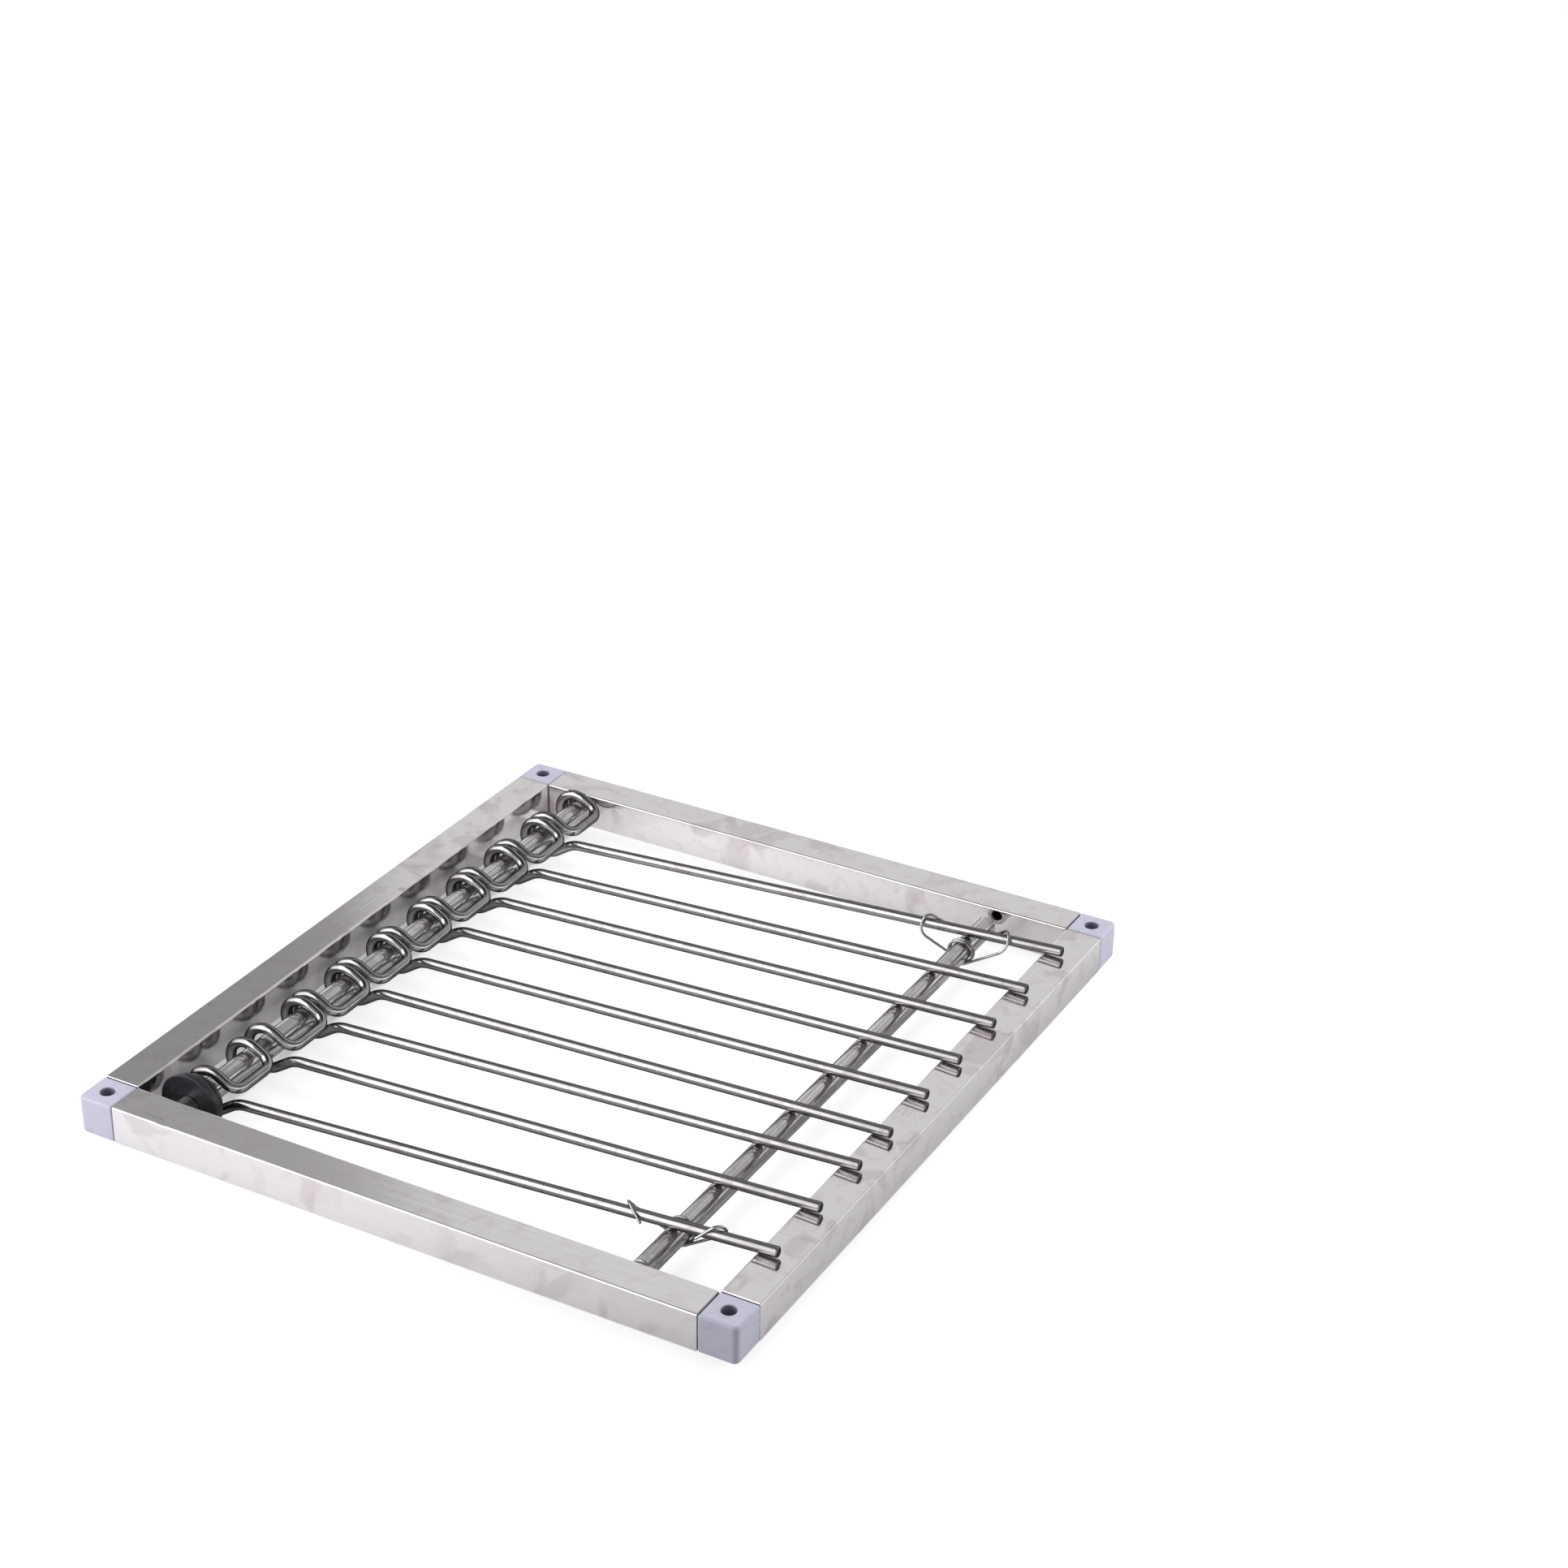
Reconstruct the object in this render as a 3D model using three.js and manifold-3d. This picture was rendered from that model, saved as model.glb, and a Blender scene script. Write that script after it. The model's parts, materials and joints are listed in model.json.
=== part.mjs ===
// Pigeon trap door: a square-tube frame whose opening is closed by a row of bent wires, the bobs.
// Each bob swings on one axle. A bar under the rods, held by two wire clips, lifts them all together.
// Millimetres. X runs along the rods, away from the axle. Y runs along the axle. Z is up.
// The origin lies in the middle of the frame, level with the underside of the grommet's large flange.

import * as THREE from 'three';
import Module from 'manifold-3d';
import { mergeVertices } from 'three/addons/utils/BufferGeometryUtils.js';

const wasm = await Module();
wasm.setup();

// Frame
const frameLength = 300;
const frameWidth = 270;
const tubeSize = 15;
const tubeWall = 0.8;
const tubeEdgeRadius = 0.7;
const spigotLength = 10;
const blockEdge = 0.5;
const screwHoleDiameter = 5.5;

// Axle and grommet
const axleDiameter = 9;
const axleInset = 31;
const axleChamfer = 0.6;
const axleEntryClearance = 0.9;
const flangeDiameter = 25.4;
const flangeThickness = 3;
const hubDiameter = 17.5;
const hubLength = 2.5;
const collarDiameter = 19.2;
const collarThickness = 2;
const rubberEdge = 0.5;
const grommetRailGap = 8;

// Bobs: one bent wire each
const bobCount = 9;
const wireDiameter = 4;
const wireChamfer = 0.4;
const ringPlay = 1.55;
const nearRingTravel = 0.7;
const farRingTravel = 0.3;
const stopReach = 11.3;
const stopRise = 2.5;
const stopBend = 5;
const neckReach = 12.6;
const neckDrop = 1.4;
const neckBend = 13;
const dipReach = 2.5;
const dipBend = 8;
const tailReach = 1;
const rodOverhang = 8;
const bobGap = 0.4;
const grommetBobGap = 2.4;
const farRailGap = 1;
const firstBobGap = 5.8;
const rodLeanShares = [0.17, 0.03, 0.07, -0.08, -0.05, -0.08, -0.03, 0, 0.17];

// Lift bar and its clips
const barDiameter = 8;
const barBore = 4.4;
const barEdge = 0.7;
const barBoreEdge = 0.4;
const barInset = 32;
const barNearEndGap = 3.1;
const barFarEndGap = 4.5;
const clipWireDiameter = 1.1;
const clipWireEdge = 0.15;
const coilGap = 0.4;
const coilPitch = 1.55;
const coilTurns = 2;
const coilRodGap = 1.3;
const armFlat = 1.3;
const armBend = 4.9;
const kneeReach = 19.5;
const kneeDrop = 1.4;
const kneeBend = 5;
const hookReach = 17.4;
const hookRise = 4.6;
const hookOvershoot = 0.2;
const hookBend = 3;
const tipReach = 10.5;
const tipOvershoot = 3.6;
const tipDrop = 1;

// Fits: what touches on the real object keeps this much air
const seatGap = 0.3;
const cutOverrun = 1;

// Facets
const tubeEdgeSteps = 3;
const roundSides = 32;
const grommetSides = 36;
const barSides = 24;
const screwHoleSides = 20;
const wireSides = 8;
const wireStep = Math.PI / 12;
const clipSides = 6;
const clipStep = Math.PI / 6;
const gapSamples = 8;

// Places that follow from the sizes
const axleRadius = axleDiameter / 2;
const wireRadius = wireDiameter / 2;
const barRadius = barDiameter / 2;
const clipWireRadius = clipWireDiameter / 2;
const axleX = axleInset - frameWidth / 2;
const axleZ = flangeDiameter / 2;
const railX = frameWidth / 2 - tubeSize / 2;
const railY = frameLength / 2 - tubeSize / 2;
const openingY = frameLength / 2 - tubeSize;
const tubeBore = tubeSize - 2 * tubeWall;

// A bob turns about the axle's centre, and its rings keep their play all round
const ringRadius = axleRadius + ringPlay + wireRadius;

// A rod lies on the inner top edge of the bottom rail and runs on over it
const railEdgeReach = frameWidth - tubeSize - axleInset;
const railEdgeRise = tubeSize / 2 + wireRadius + seatGap;
const rodSlope = (railEdgeRise + neckDrop) / (railEdgeReach - neckReach);
const rodReach = railEdgeReach + rodOverhang;

// The bobs share the length from the grommet to the far rail, less one wider gap after the first bob
const grommetLength = flangeThickness + hubLength + collarThickness;
const grommetY = grommetRailGap - openingY;
const firstBobY = grommetY + grommetLength + grommetBobGap + wireRadius;
const rowLength = openingY - farRailGap - wireRadius - firstBobGap - firstBobY;
const bobWidth = (rowLength - (bobCount - 1) * (wireDiameter + bobGap)) / bobCount;
const bobPitch = bobWidth + wireDiameter + bobGap;
const stopWidth = bobWidth - nearRingTravel - farRingTravel;

// The bar lies under the rods, and each clip's coil sits beside an outer rod
const barReach = railEdgeReach - barInset;
const barX = axleX + barReach;
const barDrop = (wireRadius + seatGap + barRadius) * Math.hypot(1, rodSlope);
const coilRadius = barRadius + coilGap + clipWireRadius;
const coilHalfLength = coilPitch * coilTurns / 2 + clipWireRadius;
const coilOffset = wireRadius + coilRodGap + coilHalfLength;

function rodRise(reach) {
  return (reach - neckReach) * rodSlope - neckDrop;
}

const barZ = axleZ + rodRise(barReach) - barDrop;

function bobY(index) {
  const y = firstBobY + index * bobPitch;
  return index === 0 ? y : y + firstBobGap;
}

function rodLean(index) {
  return rodLeanShares[index % rodLeanShares.length] * bobPitch;
}

// Finishes: bright steel, pale moulded plastic and black rubber
const finishes = {
  steel: { color: 0xc8c5c6, roughness: 0.28, metalness: 1 },
  wire: { color: 0xb9b5b3, roughness: 0.24, metalness: 1 },
  plastic: { color: 0xcccde2, roughness: 0.45, metalness: 0 },
  rubber: { color: 0x2b2b30, roughness: 0.6, metalness: 0 },
};

function piece(name, finish, geometry) {
  const mesh = new THREE.Mesh(geometry, new THREE.MeshStandardMaterial(finishes[finish]));
  mesh.name = name;
  return mesh;
}

function vector(x, y, z) {
  return new THREE.Vector3(x, y, z);
}

// Solids for cutting and joining

function toSolid(geometry) {
  const bare = geometry.index ? geometry.toNonIndexed() : geometry.clone();
  bare.deleteAttribute('normal');
  bare.deleteAttribute('uv');
  const merged = mergeVertices(bare);
  const vertProperties = Float32Array.from(merged.attributes.position.array);
  const triVerts = Uint32Array.from(merged.index.array);
  return new wasm.Manifold(new wasm.Mesh({ numProp: 3, vertProperties, triVerts }));
}

function toGeometry(solid) {
  const mesh = solid.getMesh();
  const geometry = new THREE.BufferGeometry();
  geometry.setAttribute('position', new THREE.BufferAttribute(Float32Array.from(mesh.vertProperties), 3));
  geometry.setIndex(Array.from(mesh.triVerts));
  geometry.computeVertexNormals();
  return geometry;
}

// Frame tubes and corner blocks

function squareOutline(size, radius) {
  const side = size / 2 - radius;
  const quarter = Math.PI / 2;
  const outline = new THREE.Shape();
  outline.absarc(side, side, radius, 0, quarter);
  outline.absarc(-side, side, radius, quarter, 2 * quarter);
  outline.absarc(-side, -side, radius, 2 * quarter, 3 * quarter);
  outline.absarc(side, -side, radius, 3 * quarter, 4 * quarter);
  return outline;
}

function squareHole(size) {
  const side = size / 2;
  const hole = new THREE.Path();
  hole.moveTo(-side, -side);
  hole.lineTo(side, -side);
  hole.lineTo(side, side);
  hole.lineTo(-side, side);
  hole.closePath();
  return hole;
}

function tubeGeometry(length) {
  const outline = squareOutline(tubeSize, tubeEdgeRadius);
  outline.holes.push(squareHole(tubeBore));
  const options = { depth: length, bevelEnabled: false, curveSegments: tubeEdgeSteps };
  const geometry = new THREE.ExtrudeGeometry(outline, options);
  geometry.translate(0, 0, -length / 2);
  return geometry;
}

// A side rail's own Z runs along the rail and its own Y along the axle. The wall towards the rods has
// the hole that holds the axle. The far rail's outer wall has the wider hole that the axle goes in by.
function sideRailGeometry(length, inward, withEntry) {
  const reach = tubeSize / 2 + cutOverrun;
  const along = axleX;
  let solid = toSolid(tubeGeometry(length));
  const drill = (radius, direction) => {
    const cutter = new THREE.CylinderGeometry(radius, radius, reach, roundSides);
    cutter.translate(0, direction * reach / 2, along);
    solid = solid.subtract(toSolid(cutter));
  };
  drill(axleRadius + seatGap, inward);
  if (withEntry) {
    drill(axleRadius + axleEntryClearance, -inward);
  }
  return toGeometry(solid);
}

function cornerBlockGeometry(sideX, sideY) {
  const flat = tubeSize - 2 * blockEdge;
  const options = {
    depth: flat,
    bevelEnabled: true,
    bevelSize: blockEdge,
    bevelThickness: blockEdge,
    bevelSegments: 1,
  };
  const outline = new THREE.Shape(squareHole(flat).getPoints());
  const block = new THREE.ExtrudeGeometry(outline, options);
  block.translate(0, 0, -flat / 2);
  let solid = toSolid(block);
  const spigotSize = tubeBore - 2 * seatGap;
  const spigotReach = tubeSize / 2 + spigotLength;
  const spigotX = new THREE.BoxGeometry(spigotReach, spigotSize, spigotSize);
  spigotX.translate(-sideX * spigotReach / 2, 0, 0);
  const spigotY = new THREE.BoxGeometry(spigotSize, spigotReach, spigotSize);
  spigotY.translate(0, -sideY * spigotReach / 2, 0);
  const holeRadius = screwHoleDiameter / 2;
  const hole = new THREE.CylinderGeometry(holeRadius, holeRadius, tubeSize + cutOverrun, screwHoleSides);
  hole.rotateX(Math.PI / 2);
  solid = solid.add(toSolid(spigotX)).add(toSolid(spigotY)).subtract(toSolid(hole));
  return toGeometry(solid);
}

// Turned pieces: each profile goes up its outside, and the turning axis is Y

function axleGeometry(length) {
  const half = length / 2;
  const profile = [
    new THREE.Vector2(0, -half),
    new THREE.Vector2(axleRadius - axleChamfer, -half),
    new THREE.Vector2(axleRadius, axleChamfer - half),
    new THREE.Vector2(axleRadius, half - axleChamfer),
    new THREE.Vector2(axleRadius - axleChamfer, half),
    new THREE.Vector2(0, half),
  ];
  return new THREE.LatheGeometry(profile, roundSides);
}

function flangeProfile(radius, start, thickness) {
  return [
    new THREE.Vector2(radius - rubberEdge, start),
    new THREE.Vector2(radius, start + rubberEdge),
    new THREE.Vector2(radius, start + thickness - rubberEdge),
    new THREE.Vector2(radius - rubberEdge, start + thickness),
  ];
}

// Each flange of the grommet faces away from the hub between them
function grommetGeometry() {
  const bore = axleRadius + seatGap;
  const hubRadius = hubDiameter / 2;
  const profile = [
    new THREE.Vector2(bore, 0),
    ...flangeProfile(flangeDiameter / 2, 0, flangeThickness),
    new THREE.Vector2(hubRadius, flangeThickness),
    new THREE.Vector2(hubRadius, flangeThickness + hubLength),
    ...flangeProfile(collarDiameter / 2, flangeThickness + hubLength, collarThickness),
    new THREE.Vector2(bore, grommetLength),
    new THREE.Vector2(bore, 0),
  ];
  return new THREE.LatheGeometry(profile, grommetSides);
}

function barGeometry(length) {
  const half = length / 2;
  const bore = barBore / 2;
  const profile = [
    new THREE.Vector2(bore + barBoreEdge, -half),
    new THREE.Vector2(barRadius - barEdge, -half),
    new THREE.Vector2(barRadius, barEdge - half),
    new THREE.Vector2(barRadius, half - barEdge),
    new THREE.Vector2(barRadius - barEdge, half),
    new THREE.Vector2(bore + barBoreEdge, half),
    new THREE.Vector2(bore, half - barBoreEdge),
    new THREE.Vector2(bore, barBoreEdge - half),
    new THREE.Vector2(bore + barBoreEdge, -half),
  ];
  return new THREE.LatheGeometry(profile, barSides);
}

// Bent wire: a route of points, and a round section carried along it

// The route through some corners, with every inner corner rounded by an arc of its own radius
function roundedRoute(corners, radii, step) {
  const route = [corners[0].clone()];
  for (let i = 1; i < corners.length - 1; i += 1) {
    const radius = radii[i - 1];
    const back = corners[i - 1].clone().sub(corners[i]).normalize();
    const ahead = corners[i + 1].clone().sub(corners[i]).normalize();
    const angle = back.angleTo(ahead);
    const centre = back.clone().add(ahead).normalize();
    centre.multiplyScalar(radius / Math.sin(angle / 2)).add(corners[i]);
    const spoke = back.clone().multiplyScalar(radius / Math.tan(angle / 2)).add(corners[i]).sub(centre);
    const axis = back.clone().cross(spoke).normalize();
    const turn = Math.PI - angle;
    const steps = Math.ceil(turn / step);
    for (let k = 0; k <= steps; k += 1) {
      route.push(spoke.clone().applyAxisAngle(axis, turn * k / steps).add(centre));
    }
  }
  route.push(corners[corners.length - 1].clone());
  return route;
}

// Points round the Y axis: the angle is measured from X towards Z, and Y changes evenly on the way
function helix(radius, startAngle, endAngle, startY, endY, step) {
  const steps = Math.ceil(Math.abs(endAngle - startAngle) / step);
  const points = [];
  for (let k = 0; k <= steps; k += 1) {
    const share = k / steps;
    const angle = startAngle + (endAngle - startAngle) * share;
    const y = startY + (endY - startY) * share;
    points.push(vector(radius * Math.cos(angle), y, radius * Math.sin(angle)));
  }
  return points;
}

// The section's frame is turned along with the route, so the wire has no twist in it
function wireGeometry(route, radius, sides, chamfer) {
  const last = route.length - 1;
  const startDirection = route[1].clone().sub(route[0]).normalize();
  const endDirection = route[last].clone().sub(route[last - 1]).normalize();
  const centres = [
    route[0],
    startDirection.clone().multiplyScalar(chamfer).add(route[0]),
    ...route.slice(1, last),
    endDirection.clone().multiplyScalar(-chamfer).add(route[last]),
    route[last],
  ];
  const end = centres.length - 1;
  const positions = [];
  let tangent = startDirection.clone();
  const normal = vector(0, 1, 0).cross(tangent).normalize();
  centres.forEach((centre, i) => {
    const before = i > 0 ? centre.clone().sub(centres[i - 1]).normalize() : startDirection;
    const after = i < end ? centres[i + 1].clone().sub(centre).normalize() : endDirection;
    const next = before.clone().add(after).normalize();
    normal.applyQuaternion(new THREE.Quaternion().setFromUnitVectors(tangent, next)).normalize();
    tangent = next;
    const binormal = tangent.clone().cross(normal);
    const ringSize = i === 0 || i === end ? radius - chamfer : radius;
    for (let k = 0; k < sides; k += 1) {
      const angle = 2 * Math.PI * k / sides;
      const point = centre.clone().addScaledVector(normal, ringSize * Math.cos(angle));
      point.addScaledVector(binormal, ringSize * Math.sin(angle));
      positions.push(point.x, point.y, point.z);
    }
  });
  const faces = [];
  for (let i = 0; i < end; i += 1) {
    for (let k = 0; k < sides; k += 1) {
      const a = i * sides + k;
      const b = i * sides + (k + 1) % sides;
      faces.push(a, b, b + sides, a, b + sides, a + sides);
    }
  }
  for (let k = 1; k < sides - 1; k += 1) {
    faces.push(0, k + 1, k);
    faces.push(end * sides, end * sides + k, end * sides + k + 1);
  }
  const geometry = new THREE.BufferGeometry();
  geometry.setAttribute('position', new THREE.Float32BufferAttribute(positions, 3));
  geometry.setIndex(faces);
  geometry.computeVertexNormals();
  return geometry;
}

// The least air between two stretches of one wire that lie more than half a turn apart along it
function leastGap(route, diameter, halfTurn) {
  const samples = [];
  let travelled = 0;
  for (let i = 1; i < route.length; i += 1) {
    const length = route[i].distanceTo(route[i - 1]);
    for (let k = 0; k < gapSamples; k += 1) {
      const share = k / gapSamples;
      samples.push({ at: route[i - 1].clone().lerp(route[i], share), travel: travelled + length * share });
    }
    travelled += length;
  }
  let least = Infinity;
  samples.forEach((first, i) => {
    for (let j = i + 1; j < samples.length; j += 1) {
      if (samples[j].travel - first.travel > halfTurn) {
        least = Math.min(least, first.at.distanceTo(samples[j].at) - diameter);
      }
    }
  });
  return least;
}

// A bob's own origin is the centre of its near ring. From the rod's free end the wire comes in, dips
// under the axle, goes up behind it and over it to the stop bar, along the stop bar, back over and
// behind the axle in the second ring, and ends under it.
function bobRoute(lean) {
  const distance = Math.hypot(stopReach, stopRise);
  const leave = Math.atan2(stopRise, stopReach) + Math.acos(ringRadius / distance);
  const bottom = -Math.PI / 2;
  const top = leave - 2 * Math.PI;
  const farStart = nearRingTravel + stopWidth;
  const nearRing = helix(ringRadius, bottom, top, 0, nearRingTravel, wireStep);
  const farRing = helix(ringRadius, top, bottom, farStart, bobWidth, wireStep);
  const rod = roundedRoute(
    [
      vector(rodReach, lean, rodRise(rodReach)),
      vector(neckReach, 0, -neckDrop),
      vector(dipReach, 0, -ringRadius),
      nearRing[0],
    ],
    [neckBend, dipBend],
    wireStep,
  );
  const stop = roundedRoute(
    [
      nearRing[nearRing.length - 1],
      vector(stopReach, nearRingTravel, stopRise),
      vector(stopReach, farStart, stopRise),
      farRing[0],
    ],
    [stopBend, stopBend],
    wireStep,
  );
  const tail = vector(tailReach, bobWidth, -ringRadius);
  return [...rod.slice(0, -1), ...nearRing.slice(0, -1), ...stop.slice(0, -1), ...farRing, tail];
}

// A clip's own origin is the middle of its coil, on the bar's axis. Each arm leaves under the coil,
// rises to a knee beside the rod, hooks over the rod and ends on its outer side. The outer side is
// towards outward times Y, and heading is 1 for the arm towards the rods' ends and -1 for the other.
function armCorners(outward, heading, lean) {
  const leanSlope = lean / (rodReach - neckReach);
  const rodY = (u) => outward * coilOffset + u * leanSlope;
  const rodZ = (u) => barDrop + u * rodSlope;
  const knee = heading * kneeReach;
  const hook = heading * hookReach;
  const tip = heading * tipReach;
  const startY = -heading * coilPitch * coilTurns / 2;
  return [
    vector(0, startY, -coilRadius),
    vector(heading * armFlat, startY, -coilRadius),
    vector(knee, 0, rodZ(knee) - kneeDrop),
    vector(hook, rodY(hook) + outward * hookOvershoot, rodZ(hook) + hookRise),
    vector(tip, rodY(tip) + outward * tipOvershoot, rodZ(tip) - tipDrop),
  ];
}

function clipRoute(outward, lean) {
  const bends = [armBend, kneeBend, hookBend];
  const toAxle = roundedRoute(armCorners(outward, -1, lean), bends, clipStep);
  const toRodEnd = roundedRoute(armCorners(outward, 1, lean), bends, clipStep);
  const start = -Math.PI / 2;
  const halfAdvance = coilPitch * coilTurns / 2;
  const coil = helix(coilRadius, start, start + 2 * Math.PI * coilTurns, halfAdvance, -halfAdvance, clipStep);
  return [...toAxle.reverse().slice(0, -1), ...coil, ...toRodEnd.slice(1)];
}

// Assembly

function buildFrame() {
  const frame = new THREE.Group();
  frame.position.z = axleZ;
  const crossLength = frameLength - 2 * tubeSize - 2 * seatGap;
  const sideLength = frameWidth - 2 * tubeSize - 2 * seatGap;
  [['top_rail', -1], ['bottom_rail', 1]].forEach(([name, side]) => {
    const rail = piece(name, 'steel', tubeGeometry(crossLength));
    rail.rotation.x = -Math.PI / 2;
    rail.position.x = side * railX;
    frame.add(rail);
  });
  [['near', -1], ['far', 1]].forEach(([name, side]) => {
    const rail = piece(`side_rail_${name}`, 'steel', sideRailGeometry(sideLength, -side, side > 0));
    rail.rotation.y = Math.PI / 2;
    rail.position.y = side * railY;
    frame.add(rail);
    [['top', -1], ['bottom', 1]].forEach(([end, sideX]) => {
      const block = piece(`corner_block_${name}_${end}`, 'plastic', cornerBlockGeometry(sideX, side));
      block.position.set(sideX * railX, side * railY, 0);
      frame.add(block);
    });
  });
  return frame;
}

// The axle stands just off the outer wall inside each side rail
function buildAxle() {
  const group = new THREE.Group();
  group.position.set(axleX, 0, axleZ);
  const axleLength = frameLength - 2 * tubeWall - 2 * seatGap;
  const axle = piece('axle', 'steel', axleGeometry(axleLength));
  const grommet = piece('grommet', 'rubber', grommetGeometry());
  grommet.position.y = grommetY;
  group.add(axle, grommet);
  return group;
}

function buildBobs() {
  const bobs = new THREE.Group();
  bobs.position.set(axleX, 0, axleZ);
  for (let i = 0; i < bobCount; i += 1) {
    const route = bobRoute(rodLean(i));
    const bob = piece(`bob_${i + 1}`, 'wire', wireGeometry(route, wireRadius, wireSides, wireChamfer));
    bob.position.y = bobY(i);
    bobs.add(bob);
  }
  return bobs;
}

function buildLiftBar() {
  const group = new THREE.Group();
  group.position.set(barX, 0, barZ);
  const bar = piece('lift_bar', 'steel', barGeometry(2 * openingY - barNearEndGap - barFarEndGap));
  bar.position.y = (barNearEndGap - barFarEndGap) / 2;
  group.add(bar);
  const outer = [['clip_near', 0, -1], ['clip_far', bobCount - 1, 1]];
  outer.forEach(([name, index, outward]) => {
    const lean = rodLean(index);
    const route = clipRoute(outward, lean);
    const gap = leastGap(route, clipWireDiameter, Math.PI * coilRadius);
    console.log(`${name}: least gap to itself ${gap.toFixed(2)} mm`);
    const clip = piece(name, 'wire', wireGeometry(route, clipWireRadius, clipSides, clipWireEdge));
    const rodY = bobY(index) + lean * (barReach - neckReach) / (rodReach - neckReach);
    clip.position.y = rodY - outward * coilOffset;
    group.add(clip);
  });
  return group;
}

const trapDoor = new THREE.Group();
trapDoor.add(buildFrame(), buildAxle(), buildBobs(), buildLiftBar());

export default trapDoor;
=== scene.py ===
# %% [markdown]
# # A pigeon trap door in polished steel
#
# The object is a flat frame of square stainless tube. Nine bent wires, the bobs, hang on one axle and
# close its opening. A bar under the wires, held by two spring clips, lifts them all together.
# Nearly everything here is bright metal, so two things decide how it looks: edges that are truly
# rounded, which catch a thin line of light, and surroundings that are worth reflecting.

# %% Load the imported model, whose places and sizes everything here follows
import json
import math

import bmesh
import bpy
import numpy as np
from mathutils import Matrix, Vector

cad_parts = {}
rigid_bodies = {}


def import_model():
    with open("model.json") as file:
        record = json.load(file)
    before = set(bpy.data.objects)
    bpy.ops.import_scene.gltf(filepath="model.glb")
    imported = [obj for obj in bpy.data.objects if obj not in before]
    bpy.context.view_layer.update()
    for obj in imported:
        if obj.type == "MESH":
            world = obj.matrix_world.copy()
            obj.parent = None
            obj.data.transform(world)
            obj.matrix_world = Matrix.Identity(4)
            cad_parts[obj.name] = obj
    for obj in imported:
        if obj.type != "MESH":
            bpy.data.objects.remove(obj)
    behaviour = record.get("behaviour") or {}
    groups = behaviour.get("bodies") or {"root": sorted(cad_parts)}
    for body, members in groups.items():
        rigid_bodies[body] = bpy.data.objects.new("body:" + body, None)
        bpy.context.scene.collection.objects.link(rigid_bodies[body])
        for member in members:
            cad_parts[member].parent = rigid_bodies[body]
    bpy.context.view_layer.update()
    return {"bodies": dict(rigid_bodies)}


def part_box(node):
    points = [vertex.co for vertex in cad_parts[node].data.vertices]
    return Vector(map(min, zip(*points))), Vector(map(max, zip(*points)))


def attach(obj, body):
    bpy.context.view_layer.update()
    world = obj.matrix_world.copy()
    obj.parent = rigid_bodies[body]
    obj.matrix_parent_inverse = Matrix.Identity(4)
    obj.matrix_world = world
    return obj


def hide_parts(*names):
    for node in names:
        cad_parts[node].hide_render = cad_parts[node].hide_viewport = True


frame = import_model()

# %% [markdown]
# ## Sizes
#
# Blender works in metres, and a workshop in millimetres, so each size of the object is a count of
# millimetres times one named unit. The studio round it is large, and keeps plain metres. What the
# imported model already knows, such as where the axle lies, is read from it.

# %% Sizes of the tubes, blocks, axle and rubber bush
mm = 0.001
tube_low, tube_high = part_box("bottom_rail")
tube_size = tube_high.z - tube_low.z
tube_wall = 0.8 * mm
tube_corner = 0.75 * mm
tube_inner_corner = 0.35 * mm
tube_lip = 0.2 * mm
frame_mid_z = (tube_low.z + tube_high.z) / 2

block_edge = 1.1 * mm
block_seam_edge = 0.7 * mm
block_outer_corner = 2.3 * mm
screw_hole_radius = 2.7 * mm
screw_hole_edge = 0.6 * mm
spigot_clearance = 0.35 * mm
spigot_length = 10 * mm
spigot_root = 2 * mm
spigot_corner = 1 * mm

axle_low, axle_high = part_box("axle")
axle_x = (axle_low.x + axle_high.x) / 2
axle_z = (axle_low.z + axle_high.z) / 2
axle_radius = (axle_high.z - axle_low.z) / 2
axle_edge = 0.5 * mm
fit_gap = 0.3 * mm
entry_gap = 0.9 * mm

bush_low, bush_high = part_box("grommet")
bush_radius = (bush_high.z - bush_low.z) / 2
bush_length = bush_high.y - bush_low.y
flange_thickness = 3 * mm
hub_radius = 8.75 * mm
hub_length = 2.5 * mm
collar_radius = 9.6 * mm
rubber_edge = 0.6 * mm
print("tube", round(tube_size / mm, 2), "mm, axle", round(2 * axle_radius / mm, 2), "mm")

# %% Sizes of the bobs, the lift bar and its clips
bob_count = 9
wire_radius = 2 * mm
wire_edge = 0.45 * mm
wire_sides = 24
ring_play = 1.55 * mm
ring_radius = axle_radius + ring_play + wire_radius
near_ring_travel = 0.7 * mm
loop_width = 21.9 * mm
far_ring_travel = 0.3 * mm
loop_reach = 11.3 * mm
loop_rise = 2.5 * mm
loop_bend = 5 * mm
neck_reach = 12.6 * mm
neck_drop = 1.4 * mm
neck_bend = 13 * mm
dip_reach = 2.5 * mm
dip_bend = 8 * mm
tail_reach = 1 * mm
rod_overhang = 8 * mm
bob_gap = 0.4 * mm
bob_width = near_ring_travel + loop_width + far_ring_travel
bob_pitch = bob_width + 2 * wire_radius + bob_gap
rod_lean_shares = [0.17, 0.03, 0.07, -0.08, -0.05, -0.08, -0.03, 0, 0.17]

rest_reach = tube_low.x - axle_x
rest_rise = tube_high.z - axle_z + wire_radius + fit_gap
rod_slope = (rest_rise + neck_drop) / (rest_reach - neck_reach)
rod_reach = rest_reach + rod_overhang

bar_low, bar_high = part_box("lift_bar")
bar_x = (bar_low.x + bar_high.x) / 2
bar_z = (bar_low.z + bar_high.z) / 2
bar_radius = 4 * mm
bar_bore_radius = 2.2 * mm
bar_edge = 0.55 * mm

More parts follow.
